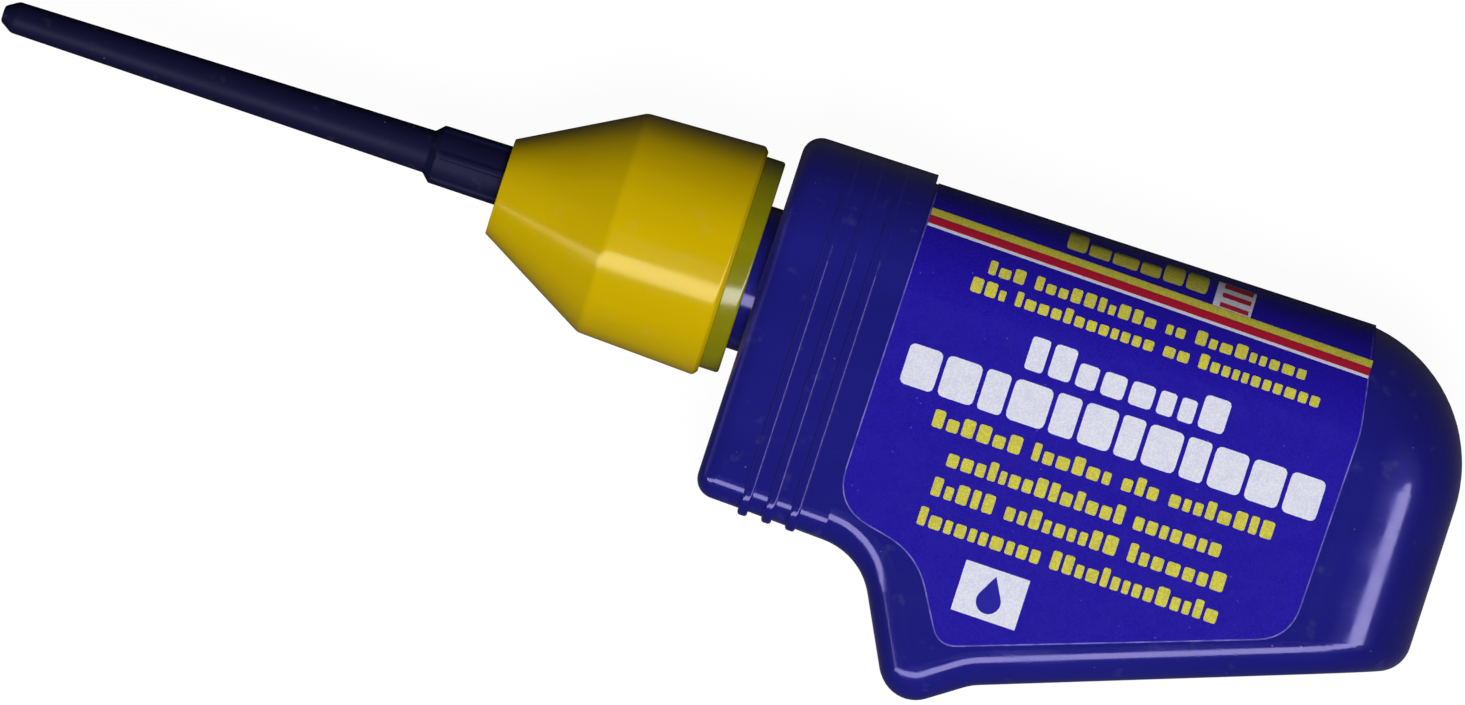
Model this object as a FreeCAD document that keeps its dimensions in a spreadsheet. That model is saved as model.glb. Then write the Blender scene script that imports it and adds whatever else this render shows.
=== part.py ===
import FreeCAD, Part
import math
import os
import Sketcher

# Glue applicator bottle: a flat wedge-shaped squeeze bottle with a screw closure that
# carries a thin needle under a pull-off sheath. It lies on its back.
# +X runs from the needle's tip to the base end, +Y to the spine (the long straight edge),
# +Z out of the front. The origin is under the middle of the whole object, where it lies.
# Lengths are in millimetres. "x" cells are places along +X.

SIZES = {
    # bottle: outline corners, taken before they are rounded
    "spine_y": 24.5,
    "base_x": 76.7,
    "base_low_y": -7.4,
    "slope_x": 36.0,
    "slope_y": -22.1,
    "tip_x": 28.8,
    "tip_y": -27.07,
    "recess_x": 21.6,
    "recess_y": -13.0,
    "body_start_x": 9.0,
    "body_start_y": -12.45,
    # bottle: roundings of the outline, seen from the front
    "spine_corner": 15.0,
    "slope_corner": 6.0,
    "tip_corner": 3.6,
    "recess_corner": 7.0,
    # bottle: thickness, wall and roundings of the rims
    "half_thick": 11.2,
    "wall": 1.0,
    "spine_round": 11.0,
    "low_round": 3.4,
    # shoulder block and its ribs
    "shoulder_x": 3.6,
    "shoulder_end_x": 17.3,
    "shoulder_top": 25.4,
    "shoulder_low": -12.25,
    "shoulder_low_end": -12.7,
    "shoulder_half": 11.5,
    "shoulder_round": 11.2,
    "shoulder_rim": 2.0,
    "shoulder_low_round": 2.5,
    "rib_first_x": 9.0,
    "rib_pitch": 2.5,
    "rib_width": 1.0,
    "rib_rise": 0.45,
    "rib_low": -13.02,
    "rib_edge": 0.3,
    # neck, its screw thread and the closure's axis
    "axis_y": 10.8,
    "axis_z": 12.0,
    "neck_lip_x": -8.0,
    "neck_radius": 6.5,
    "bore_radius": 5.0,
    "root_radius": 7.3,
    "root_start_x": 1.8,
    "root_drop": 1.1,
    "pitch": 3.0,
    "turns": 1.25,
    "thread_start_x": -6.4,
    "ridge_base": 1.4,
    "ridge_crest": 0.7,
    "neck_crest_radius": 7.3,
    "skirt_bore_radius": 7.7,
    "skirt_crest_radius": 6.8,
    # label
    "label_thick": 0.12,
    "label_top_y": 26.0,
    "label_left_x": 17.55,
    "label_low_x": 17.4,
    "label_low_y": -9.3,
    "label_recess_x": 26.8,
    "label_recess_y": -11.25,
    "label_tip_x": 31.6,
    "label_tip_y": -19.5,
    "label_end_x": 64.8,
    "label_end_y": -7.9,
    "label_bend_x": 65.2,
    "label_bend_y": 14.0,
    "label_right_x": 63.3,
    "label_low_corner": 5.0,
    "label_recess_corner": 8.0,
    "label_tip_corner": 2.5,
    "label_end_corner": 4.8,
    "label_bend_corner": 15.0,
    # plug in the neck, liner above it
    "plug_depth": 4.0,
    "plug_flange": 0.8,
    "plug_flange_radius": 6.2,
    "plug_wall": 0.9,
    "plug_floor": 0.4,
    "plug_taper": 0.3,
    "orifice_radius": 1.2,
    "liner_thick": 0.8,
    "liner_radius": 6.6,
    "liner_hole": 2.6,
    "seal_gap": 0.05,
    # screw closure
    "flange_end_x": 2.4,
    "flange_radius": 11.05,
    "spigot_length": 1.6,
    "skirt_radius": 9.2,
    "deck_thick": 1.4,
    "entry_radius": 8.85,
    "entry_depth": 1.2,
    "needle_offset": 1.1,
    "boss_radius": 4.2,
    "boss_front_x": -17.0,
    # cone shroud
    "cone_front_x": -24.05,
    "cone_rim_x": -23.6,
    "cone_lip_radius": 4.95,
    "cone_front_radius": 5.2,
    "cone_end_x": -12.25,
    "cone_end_radius": 11.5,
    "skirt_end_radius": 12.0,
    "rear_chamfer_x": 0.0,
    "rear_radius": 11.5,
    "shroud_rear_x": 0.4,
    "shroud_bore_radius": 10.6,
    "opening_radius": 4.7,
    "opening_depth": 3.2,
    # needle, its hub and its sheath
    "hub_plug_radius": 2.5,
    "hub_rear_x": -12.4,
    "hub_flange_radius": 3.5,
    "hub_flange": 0.8,
    "spigot_radius": 2.1,
    "spigot_tip_radius": 1.95,
    "spigot_front_x": -22.6,
    "needle_radius": 0.4,
    "needle_bore": 0.25,
    "needle_tip_x": -72.8,
    "sheath_tip_x": -76.7,
    "sheath_nose_radius": 0.7,
    "sheath_nose_length": 1.3,
    "sheath_tip_radius": 1.62,
    "sheath_radius": 2.2,
    "sheath_bore_tip": 0.75,
    "sheath_bore_radius": 1.25,
    "sheath_floor": 1.4,
    "collar_x": -31.9,
    "collar_chamfer": 0.8,
    "collar_radius": 3.0,
    "collar_end_radius": 3.15,
    "collar_end_x": -18.2,
    "collar_bore_radius": 2.15,
    "collar_bore_x": -23.4,
    "collar_rib_count": 6,
    "collar_rib_foot": 2.45,
    "collar_rib_rise": 0.22,
    "collar_rib_width": 0.5,
    # cement left in the bottle
    "fill_gap": 0.1,
    "fill_level": 6.7,
}

# Two places nearer than this are the same one, and a rim's own edges lie within RIM_DEPTH.
SAME_PLACE = 1e-4
RIM_DEPTH = 0.01
# Fused solids run into each other by OVERLAP, and a tool runs past what it cuts by RUN_OUT.
OVERLAP = 0.1
RUN_OUT = 2.0

doc = FreeCAD.newDocument("glue_applicator_bottle")
sheet = doc.addObject("Spreadsheet::Sheet", "Sizes")
for row, (alias, value) in enumerate(SIZES.items(), start=1):
    sheet.set(f"A{row}", alias)
    sheet.set(f"B{row}", str(value))
    sheet.setAlias(f"B{row}", alias)
doc.recompute()


class Size:
    """A length with its value and the expression that binds it to the sheet."""

    def __init__(self, value, text):
        self.value = value
        self.text = text

    def __add__(self, other):
        other = as_size(other)
        return Size(self.value + other.value, f"({self.text} + {other.text})")

    def __sub__(self, other):
        other = as_size(other)
        return Size(self.value - other.value, f"({self.text} - {other.text})")

    def __mul__(self, other):
        other = as_size(other)
        return Size(self.value * other.value, f"({self.text} * {other.text})")

    def __truediv__(self, other):
        other = as_size(other)
        return Size(self.value / other.value, f"({self.text} / {other.text})")


def as_size(number):
    """A Size as it is, or a plain number as a Size."""
    if isinstance(number, Size):
        return number
    return Size(number, f"({number:.6f})")


def cell(alias):
    """The sheet's cell of that name."""
    return Size(SIZES[alias], f"Sizes.{alias}")


def bind(thing, path, size):
    """Set a property from the sheet, for good."""
    thing.setExpression(path, as_size(size).text)


ZERO = as_size(0.0)


def origin_plane(body, role):
    """One of a body's own origin planes."""
    return next(f for f in body.Origin.OriginFeatures if f.Role == role)


def add_polygon(sketch, points):
    """Closed polygon in a sketch, with each corner's place bound to the sheet."""
    count = len(points)
    for number, (x, y) in enumerate(points):
        next_x, next_y = points[(number + 1) % count]
        start = FreeCAD.Vector(as_size(x).value, as_size(y).value, 0)
        end = FreeCAD.Vector(as_size(next_x).value, as_size(next_y).value, 0)
        sketch.addGeometry(Part.LineSegment(start, end), False)
    for number in range(count):
        follower = (number + 1) % count
        sketch.addConstraint(Sketcher.Constraint("Coincident", number, 2, follower, 1))
    for number, (x, y) in enumerate(points):
        for kind, size in (("DistanceX", as_size(x)), ("DistanceY", as_size(y))):
            rule = Sketcher.Constraint(kind, -1, 1, number, 1, size.value)
            index = sketch.addConstraint(rule)
            sketch.setExpression(f"Constraints[{index}]", size.text)


def body_sketch(body, name, plane, points):
    """Polygon sketch on one of a body's origin planes."""
    sketch = body.newObject("Sketcher::SketchObject", name)
    sketch.AttachmentSupport = [(origin_plane(body, plane), "")]
    sketch.MapMode = "FlatFace"
    add_polygon(sketch, points)
    return sketch


def new_body(name, y, z):
    """PartDesign body, lifted to a place across the bottle."""
    body = doc.addObject("PartDesign::Body", name)
    body.Label = name
    bind(body, "Placement.Base.y", y)
    bind(body, "Placement.Base.z", z)
    return body


def turned(name, points, y):
    """Body turned about a line along X from (x, radius) corners."""
    body = new_body(name, y, cell("axis_z"))
    sketch = body_sketch(body, name + "_profile", "XY_Plane", points)
    turn = body.newObject("PartDesign::Revolution", name + "_turn")
    turn.Profile = sketch
    turn.ReferenceAxis = (sketch, ["H_Axis"])
    turn.Angle = 360
    body.Tip = turn
    doc.recompute()
    return body


def padded(name, points, half):
    """Body padded half each way from mid-thickness, from a polygon seen from the front."""
    body = new_body(name, ZERO, cell("axis_z"))
    sketch = body_sketch(body, name + "_outline", "XY_Plane", points)
    pad = body.newObject("PartDesign::Pad", name + "_pad")
    pad.Profile = sketch
    pad.Midplane = True
    bind(pad, "Length", as_size(half) * 2)
    body.Tip = pad
    doc.recompute()
    return body


def round_edges(body, radius, wanted):
    """Fillet those edges of a body for which wanted(edge) is true."""
    base = body.Tip
    names = [f"Edge{n}" for n, edge in enumerate(base.Shape.Edges, start=1) if wanted(edge)]
    fillet = body.newObject("PartDesign::Fillet", f"{body.Name}_round")
    fillet.Base = (base, names)
    bind(fillet, "Radius", radius)
    body.Tip = fillet
    doc.recompute()


def middle(edge):
    """Point half-way along an edge."""
    return edge.valueAt((edge.FirstParameter + edge.LastParameter) / 2)


def runs_through(edge, corner):
    """Whether an edge goes straight through the thickness at a corner of the outline."""
    first, last = edge.Vertexes[0].Point, edge.Vertexes[-1].Point
    across = math.hypot(first.x - last.x, first.y - last.y)
    x, y = as_size(corner[0]).value, as_size(corner[1]).value
    near = math.hypot(first.x - x, first.y - y)
    upright = abs(first.z - last.z) > across
    return across < SAME_PLACE and near < RIM_DEPTH and upright


def on_rim(edge, half):
    """Whether an edge lies in the front or back plane of a padded body."""
    height = as_size(half).value
    spread = [abs(abs(vertex.Point.z) - height) for vertex in edge.Vertexes]
    same_side = edge.Vertexes[0].Point.z * edge.Vertexes[-1].Point.z > 0
    return same_side and max(spread) < SAME_PLACE


def fuse(name, parts):
    """Union of several objects."""
    joined = doc.addObject("Part::MultiFuse", name)
    joined.Shapes = parts
    joined.Refine = True
    doc.recompute()
    return joined


def cut(name, base, tool):
    """First object less the second."""
    rest = doc.addObject("Part::Cut", name)
    rest.Base = base
    rest.Tool = tool
    rest.Label = name
    doc.recompute()
    return rest


def rod(name, radius, start_x, end_x, y):
    """Cylinder along X at mid-thickness."""
    cylinder = doc.addObject("Part::Cylinder", name)
    cylinder.Placement.Rotation = FreeCAD.Rotation(FreeCAD.Vector(0, 1, 0), 90)
    bind(cylinder, "Radius", radius)
    bind(cylinder, "Height", end_x - start_x)
    bind(cylinder, "Placement.Base.x", start_x)
    bind(cylinder, "Placement.Base.y", y)
    bind(cylinder, "Placement.Base.z", cell("axis_z"))
    doc.recompute()
    return cylinder


def wedge(name, inset):
    """Rounded wedge form of the bottle, drawn in by an inset from the outer face.

    Each corner moves along the line that keeps its two sides parallel.
    """
    corners = [
        (cell("body_start_x"), cell("spine_y"), None),
        (cell("base_x"), cell("spine_y"), cell("spine_corner") - inset),
        (cell("base_x"), cell("base_low_y"), None),
        (cell("slope_x"), cell("slope_y"), cell("slope_corner") + inset),
        (cell("tip_x"), cell("tip_y"), cell("tip_corner") - inset),
        (cell("recess_x"), cell("recess_y"), cell("recess_corner") + inset),
        (cell("body_start_x"), cell("body_start_y"), None),
    ]
    points = []
    for number, (x, y, _) in enumerate(corners):
        before_x, before_y, _ = corners[number - 1]
        after_x, after_y, _ = corners[(number + 1) % len(corners)]
        come = math.atan2(y.value - before_y.value, x.value - before_x.value)
        leave = math.atan2(after_y.value - y.value, after_x.value - x.value)
        share = 1 + math.cos(come - leave)
        shift_x = (math.sin(come) + math.sin(leave)) / share
        shift_y = -(math.cos(come) + math.cos(leave)) / share
        points.append((x + as_size(inset) * shift_x, y + as_size(inset) * shift_y))
    if as_size(inset).value > 0:
        # The hollow goes on into the shoulder block, to a wall's thickness from its front.
        front = cell("shoulder_x") + inset + OVERLAP
        points[0] = (front, points[0][1])
        points[-1] = (front, points[-1][1])
    half = cell("half_thick") - inset
    body = padded(name, points, half)
    for corner, (_, _, radius) in zip(points, corners):
        if radius is not None:
            round_edges(body, radius, lambda edge: runs_through(edge, corner))
    high = points[1][1].value - RIM_DEPTH
    end = points[1][0].value - RIM_DEPTH
    bend_y = SIZES["spine_y"] - SIZES["spine_corner"]
    bend_x = SIZES["base_x"] - SIZES["spine_corner"]

    def along_spine(edge):
        place = middle(edge)
        on_bend = place.y > bend_y and place.x > bend_x
        return on_rim(edge, half) and (place.y > high or on_bend or place.x > end)

    def along_low_side(edge):
        place = middle(edge)
        return on_rim(edge, half) and place.y < points[2][1].value - RIM_DEPTH

    round_edges(body, cell("spine_round") - inset, along_spine)
    round_edges(body, cell("low_round") - inset, along_low_side)
    return body


def shoulder(name, span, lows, rise, rims):
    """Slab of the shoulder's section over a span of X, standing out by rise.

    lows are the low edge's places at the span's two ends, and rims says which of the two
    end faces get a rounded rim, and how large.
    """
    top = cell("shoulder_top")
    half = cell("shoulder_half") + rise
    points = [(span[0], top), (span[1], top), (span[1], lows[1]), (span[0], lows[0])]
    body = padded(name, points, half)
    round_edges(
        body,
        cell("shoulder_round") + rise,
        lambda edge: on_rim(edge, half) and middle(edge).y > top.value - RIM_DEPTH,
    )
    round_edges(
        body,
        cell("shoulder_low_round"),
        lambda edge: on_rim(edge, half) and middle(edge).y < lows[0].value + RIM_DEPTH,
    )

    def round_the_face(edge):
        places = [vertex.Point.x for vertex in edge.Vertexes] + [middle(edge).x]
        return any(
            max(abs(x - end.value) for x in places) < SAME_PLACE for end in rims["ends"]
        )

    round_edges(body, rims["radius"], round_the_face)
    return body


def thread(name, crest_radius, base_radius, start_x):
    """Right-hand screw ridge about the closure's axis, with a trapezoid section."""
    helix = doc.addObject("Part::Helix", name + "_line")
    bind(helix, "Pitch", cell("pitch"))
    bind(helix, "Height", cell("pitch") * cell("turns"))
    bind(helix, "Radius", base_radius)
    section = doc.addObject("Sketcher::SketchObject", name + "_section")
    section.Placement.Rotation = FreeCAD.Rotation(FreeCAD.Vector(1, 0, 0), 90)
    base_half = cell("ridge_base") / 2
    crest_half = cell("ridge_crest") / 2
    corners = [
        (base_radius, ZERO - base_half),
        (base_radius, base_half),
        (crest_radius, crest_half),
        (crest_radius, ZERO - crest_half),
    ]
    add_polygon(section, corners)
    doc.recompute()
    ridge = doc.addObject("Part::Sweep", name)
    ridge.Sections = [section]
    ridge.Spine = (helix, ["Edge1"])
    ridge.Solid = True
    ridge.Frenet = True
    ridge.Placement.Rotation = FreeCAD.Rotation(FreeCAD.Vector(0, 1, 0), 90)
    bind(ridge, "Placement.Base.x", start_x)
    bind(ridge, "Placement.Base.y", cell("axis_y"))
    bind(ridge, "Placement.Base.z", cell("axis_z"))
    doc.recompute()
    return ridge


axis_y = cell("axis_y")
needle_y = axis_y + cell("needle_offset")


def make_bottle_shell():
    """Blow-moulded bottle: wedge, shoulder, ribs and threaded neck, all hollow."""
    solids = [wedge("wedge_form", ZERO)]
    span = (cell("shoulder_x"), cell("shoulder_end_x"))
    lows = (cell("shoulder_low"), cell("shoulder_low_end"))
    rims = {"radius": cell("shoulder_rim"), "ends": span[:1]}
    solids.append(shoulder("shoulder_block", span, lows, ZERO, rims))
    for number in range(3):
        middle_x = cell("rib_first_x") + cell("rib_pitch") * number
        span = (middle_x - cell("rib_width") / 2, middle_x + cell("rib_width") / 2)
        lows = (cell("rib_low"), cell("rib_low"))
        rims = {"radius": cell("rib_edge"), "ends": span}
        name = f"shoulder_rib_{number + 1}"
        solids.append(shoulder(name, span, lows, cell("rib_rise"), rims))
    inner_x = cell("shoulder_x") + cell("wall")
    root_y = axis_y - cell("root_drop")
    root = rod("neck_root", cell("root_radius"), cell("root_start_x"), inner_x, root_y)
    neck = rod("neck_tube", cell("neck_radius"), cell("neck_lip_x"), inner_x, axis_y)
    buried = cell("neck_radius") - OVERLAP
    crest = cell("neck_crest_radius")
    ridge = thread("neck_thread", crest, buried, cell("thread_start_x"))
    outside = fuse("bottle_outside", solids + [root, neck, ridge])
    hollow = wedge("bottle_hollow", cell("wall"))
    bore_start = cell("neck_lip_x") - RUN_OUT
    bore = rod("neck_bore", cell("bore_radius"), bore_start, inner_x + RUN_OUT, axis_y)
    return cut("bottle_shell", outside, fuse("bottle_inside", [hollow, bore]))


def make_wrap_label():
    """Printed label over the front, the spine and the back, one thin sheet."""
    skins = []
    for name, growth in (("label_outer", cell("label_thick")), ("label_inner", ZERO)):
        left, right = cell("label_low_x") - RUN_OUT, cell("label_bend_x") + RUN_OUT
        top, low = cell("spine_y") + growth, cell("label_tip_y") - RUN_OUT
        half = cell("half_thick") + growth
        bar = padded(name, [(left, top), (right, top), (right, low), (left, low)], half)
        edge_y = top.value - RIM_DEPTH
        round_edges(
            bar,
            cell("spine_round") + growth,
            lambda edge: on_rim(edge, half) and middle(edge).y > edge_y,
        )
        skins.append(bar)
    skin = cut("label_skin", skins[0], skins[1])
    top = cell("label_top_y")
    corners = [
        (cell("label_left_x"), top, None),
        (cell("label_right_x"), top, None),
        (cell("label_bend_x"), cell("label_bend_y"), cell("label_bend_corner")),
        (cell("label_end_x"), cell("label_end_y"), cell("label_end_corner")),
        (cell("label_tip_x"), cell("label_tip_y"), cell("label_tip_corner")),
        (cell("label_recess_x"), cell("label_recess_y"), cell("label_recess_corner")),
        (cell("label_low_x"), cell("label_low_y"), cell("label_low_corner")),
    ]
    reach = cell("half_thick") + RUN_OUT
    outline = padded("label_outline", [(x, y) for x, y, _ in corners], reach)
    for x, y, radius in corners:
        if radius is not None:
            round_edges(outline, radius, lambda edge: runs_through(edge, (x, y)))
    label = doc.addObject("Part::MultiCommon", "wrap_label")
    label.Shapes = [skin, outline]
    label.Label = "wrap_label"
    doc.recompute()
    return label


def make_liquid_cement():
    """Cement that lies in the bottle, up to its free surface just under the neck's bore."""
    form = wedge("cement_form", cell("wall") + cell("fill_gap"))
    level = doc.addObject("Part::Box", "cement_level")
    bind(level, "Length", cell("base_x") - cell("shoulder_x"))
    bind(level, "Width", cell("spine_y") - cell("tip_y"))
    bind(level, "Height", cell("fill_level"))
    bind(level, "Placement.Base.x", cell("shoulder_x"))
    bind(level, "Placement.Base.y", cell("tip_y"))
    doc.recompute()
    liquid = doc.addObject("Part::MultiCommon", "liquid_cement")
    liquid.Shapes = [form, level]
    liquid.Label = "liquid_cement"
    doc.recompute()
    return liquid


def make_neck_plug():
    """Drip plug pressed in the mouth: a flanged cup with a small orifice."""
    lip = cell("neck_lip_x")
    flange_x = lip - cell("plug_flange")
    floor_x = lip + cell("plug_floor")
    end_x = lip + cell("plug_depth")
    inner = cell("bore_radius") - cell("plug_wall")
    return turned(
        "neck_plug",
        [
            (flange_x, cell("orifice_radius")),
            (flange_x, cell("plug_flange_radius")),
            (lip, cell("plug_flange_radius")),
            (lip, cell("bore_radius")),
            (end_x, cell("bore_radius") - cell("plug_taper")),
            (end_x, inner - cell("plug_taper")),
            (floor_x, inner),
            (floor_x, cell("orifice_radius")),
        ],
        axis_y,
    )


def liner_front():
    """Front face of the sealing liner."""
    return cell("neck_lip_x") - cell("plug_flange") - cell("seal_gap") - cell("liner_thick")


def make_sealing_liner():
    """Soft flat ring between the plug's flange and the closure's deck."""
    front = liner_front()
    back = front + cell("liner_thick")
    inner, outer = cell("liner_hole"), cell("liner_radius")
    points = [(front, inner), (front, outer), (back, outer), (back, inner)]
    return turned("sealing_liner", points, axis_y)


def make_screw_closure():
    """Threaded closure: flange, spigot for the cone, skirt, deck and needle boss."""
    deck_inner = liner_front() - cell("seal_gap")
    deck_outer = deck_inner - cell("deck_thick")
    end = cell("flange_end_x")
    face = cell("shroud_rear_x")
    spigot_front = face - cell("spigot_length")
    shell = turned(
        "closure_turned",
        [
            (deck_outer, ZERO),
            (deck_outer, cell("skirt_radius")),
            (spigot_front, cell("skirt_radius")),
            (spigot_front, cell("shroud_bore_radius")),
            (face, cell("shroud_bore_radius")),
            (face, cell("flange_radius")),
            (end, cell("flange_radius")),
            (end, cell("entry_radius")),
            (end - cell("entry_depth"), cell("entry_radius")),
            (end - cell("entry_depth"), cell("skirt_bore_radius")),
            (deck_inner, cell("skirt_bore_radius")),
            (deck_inner, ZERO),
        ],
        axis_y,
    )
    front = cell("boss_front_x")
    boss = rod("closure_boss", cell("boss_radius"), front, deck_outer + OVERLAP, needle_y)
    buried = cell("skirt_bore_radius") + OVERLAP
    start = cell("thread_start_x") + cell("pitch") / 2
    ridge = thread("closure_thread", cell("skirt_crest_radius"), buried, start)
    solid = fuse("closure_solid", [shell, boss, ridge])
    start = front - RUN_OUT
    hub_hole = rod("hub_hole", cell("hub_plug_radius"), start, cell("hub_rear_x"), needle_y)
    flow = rod("flow_hole", cell("orifice_radius"), start, deck_inner + RUN_OUT, needle_y)
    return cut("screw_closure", solid, fuse("closure_holes", [hub_hole, flow]))


def make_cone_shroud():
    """Yellow cone pushed over the closure, open at its front round the needle."""
    bore = cell("shroud_bore_radius")
    front = cell("cone_front_x")
    rear = cell("shroud_rear_x")
    wall_step = cell("cone_end_radius") - bore
    return turned(
        "cone_shroud",
        [
            (front, cell("opening_radius")),
            (front, cell("cone_lip_radius")),
            (cell("cone_rim_x"), cell("cone_front_radius")),
            (cell("cone_end_x"), cell("cone_end_radius")),
            (cell("rear_chamfer_x"), cell("skirt_end_radius")),
            (rear, cell("rear_radius")),
            (rear, bore),
            (cell("cone_end_x") + wall_step, bore),
            (front + cell("opening_depth"), cell("opening_radius")),
        ],
        axis_y,
    )


def make_needle_hub():
    """Bush that holds the needle: a plug, a flange, and a spigot for the sheath."""
    flange_back = cell("boss_front_x")
    flange_front = flange_back - cell("hub_flange")
    front = cell("spigot_front_x")
    hole = cell("needle_radius")
    return turned(
        "needle_hub",
        [
            (front, hole),
            (front, cell("spigot_tip_radius")),
            (flange_front, cell("spigot_radius")),
            (flange_front, cell("hub_flange_radius")),
            (flange_back, cell("hub_flange_radius")),
            (flange_back, cell("hub_plug_radius")),
            (cell("hub_rear_x"), cell("hub_plug_radius")),
            (cell("hub_rear_x"), hole),
        ],
        needle_y,
    )


def make_needle_tube():
    """Thin steel tube, with its end ground square."""
    tip, rear = cell("needle_tip_x"), cell("hub_rear_x")
    inner, outer = cell("needle_bore"), cell("needle_radius")
    points = [(tip, inner), (tip, outer), (rear, outer), (rear, inner)]
    return turned("needle_tube", points, needle_y)


def make_needle_sheath():
    """Closed tapering tube with a ribbed collar that grips the hub's spigot."""
    tip = cell("sheath_tip_x")
    collar = cell("collar_x")
    end = cell("collar_end_x")
    collar_flat = collar + cell("collar_chamfer")
    tube = turned(
        "sheath_turned",
        [
            (tip, ZERO),
            (tip, cell("sheath_nose_radius")),
            (tip + cell("sheath_nose_length"), cell("sheath_tip_radius")),
            (collar, cell("sheath_radius")),
            (collar_flat, cell("collar_radius")),
            (end, cell("collar_end_radius")),
            (end, cell("collar_bore_radius")),
            (cell("collar_bore_x"), cell("collar_bore_radius")),
            (cell("collar_bore_x"), cell("sheath_bore_radius")),
            (tip + cell("sheath_floor"), cell("sheath_bore_tip")),
            (tip + cell("sheath_floor"), ZERO),
        ],
        needle_y,
    )
    ribs = []
    top = cell("collar_end_radius") + cell("collar_rib_rise")
    foot = cell("collar_rib_foot")
    half_width = cell("collar_rib_width") / 2
    for number in range(SIZES["collar_rib_count"]):
        angle = 360 * number / SIZES["collar_rib_count"]
        cosine, sine = math.cos(math.radians(angle)), math.sin(math.radians(angle))
        rib = doc.addObject("Part::Box", f"collar_rib_{number + 1}")
        rib.Placement.Rotation = FreeCAD.Rotation(FreeCAD.Vector(1, 0, 0), angle)
        bind(rib, "Length", end - collar_flat)
        bind(rib, "Width", cell("collar_rib_width"))
        bind(rib, "Height", top - foot)
        bind(rib, "Placement.Base.x", collar_flat)
        bind(rib, "Placement.Base.y", needle_y - half_width * cosine - foot * sine)
        bind(rib, "Placement.Base.z", cell("axis_z") - half_width * sine + foot * cosine)
        ribs.append(rib)
    sheath = fuse("needle_sheath", [tube] + ribs)
    sheath.Label = "needle_sheath"
    return sheath


pieces = [
    make_bottle_shell(),
    make_wrap_label(),
    make_liquid_cement(),
    make_neck_plug(),
    make_sealing_liner(),
    make_screw_closure(),
    make_cone_shroud(),
    make_needle_hub(),
    make_needle_tube(),
    make_needle_sheath(),
]

doc.recompute()
for thing in doc.Objects:
    if "Invalid" in thing.State or "Error" in thing.State:
        raise RuntimeError(f"{thing.Name} failed: {thing.State}")
for piece in pieces:
    if piece.Shape.isNull() or not piece.Shape.isValid() or not piece.Shape.Solids:
        raise RuntimeError(f"{piece.Label} has no valid solid")

os.makedirs("parts", exist_ok=True)
for piece in pieces:
    piece.Shape.exportStep(f"parts/{piece.Label}.step")
    box = piece.Shape.BoundBox
    spans = [f"{low:.2f}..{high:.2f}" for low, high in (
        (box.XMin, box.XMax), (box.YMin, box.YMax), (box.ZMin, box.ZMax))]
    print(piece.Label, len(piece.Shape.Solids), f"{piece.Shape.Volume:.1f}", *spans)
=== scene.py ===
import bmesh
import bpy
import math
import random
from mathutils import Matrix, Vector


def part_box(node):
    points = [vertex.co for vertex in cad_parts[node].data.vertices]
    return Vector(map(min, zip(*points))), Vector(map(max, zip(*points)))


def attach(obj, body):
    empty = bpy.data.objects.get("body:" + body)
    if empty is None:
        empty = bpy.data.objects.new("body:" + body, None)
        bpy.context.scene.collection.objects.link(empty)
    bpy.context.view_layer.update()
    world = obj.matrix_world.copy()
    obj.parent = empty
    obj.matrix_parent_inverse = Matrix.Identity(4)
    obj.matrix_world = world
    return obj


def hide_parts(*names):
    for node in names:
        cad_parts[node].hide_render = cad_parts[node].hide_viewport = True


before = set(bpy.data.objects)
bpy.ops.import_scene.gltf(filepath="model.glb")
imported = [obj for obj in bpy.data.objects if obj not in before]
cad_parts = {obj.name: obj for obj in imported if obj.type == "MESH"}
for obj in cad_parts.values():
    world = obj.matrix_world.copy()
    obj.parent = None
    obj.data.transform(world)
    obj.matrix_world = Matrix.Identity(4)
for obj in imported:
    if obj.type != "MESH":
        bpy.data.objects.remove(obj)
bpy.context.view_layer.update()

# Glue applicator bottle, in the CAD frame: +X to the base end, +Y to the spine, +Z out of
# the front. Sizes are in millimetres, and are turned to metres where a mesh is made. Only
# the lights and the floor, at the end, are in metres.
MM = 0.001


def span(node, axis):
    """Lowest and highest place of a CAD node along X, Y or Z (axis 0, 1 or 2), in mm."""
    low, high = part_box(node)
    return low[axis] / MM, high[axis] / MM


def centre(node, axis):
    """Middle of a CAD node along an axis, in mm."""
    return sum(span(node, axis)) / 2


# Places that several pieces share, from the frame.
MID_Z = centre("cone_shroud", 2)  # mid-thickness, and height of the closure's axis
AXIS_Y = centre("cone_shroud", 1)  # the closure's axis
NEEDLE_Y = centre("needle_hub", 1)  # the needle's axis

# ---------------------------------------------------------------- materials


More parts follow.
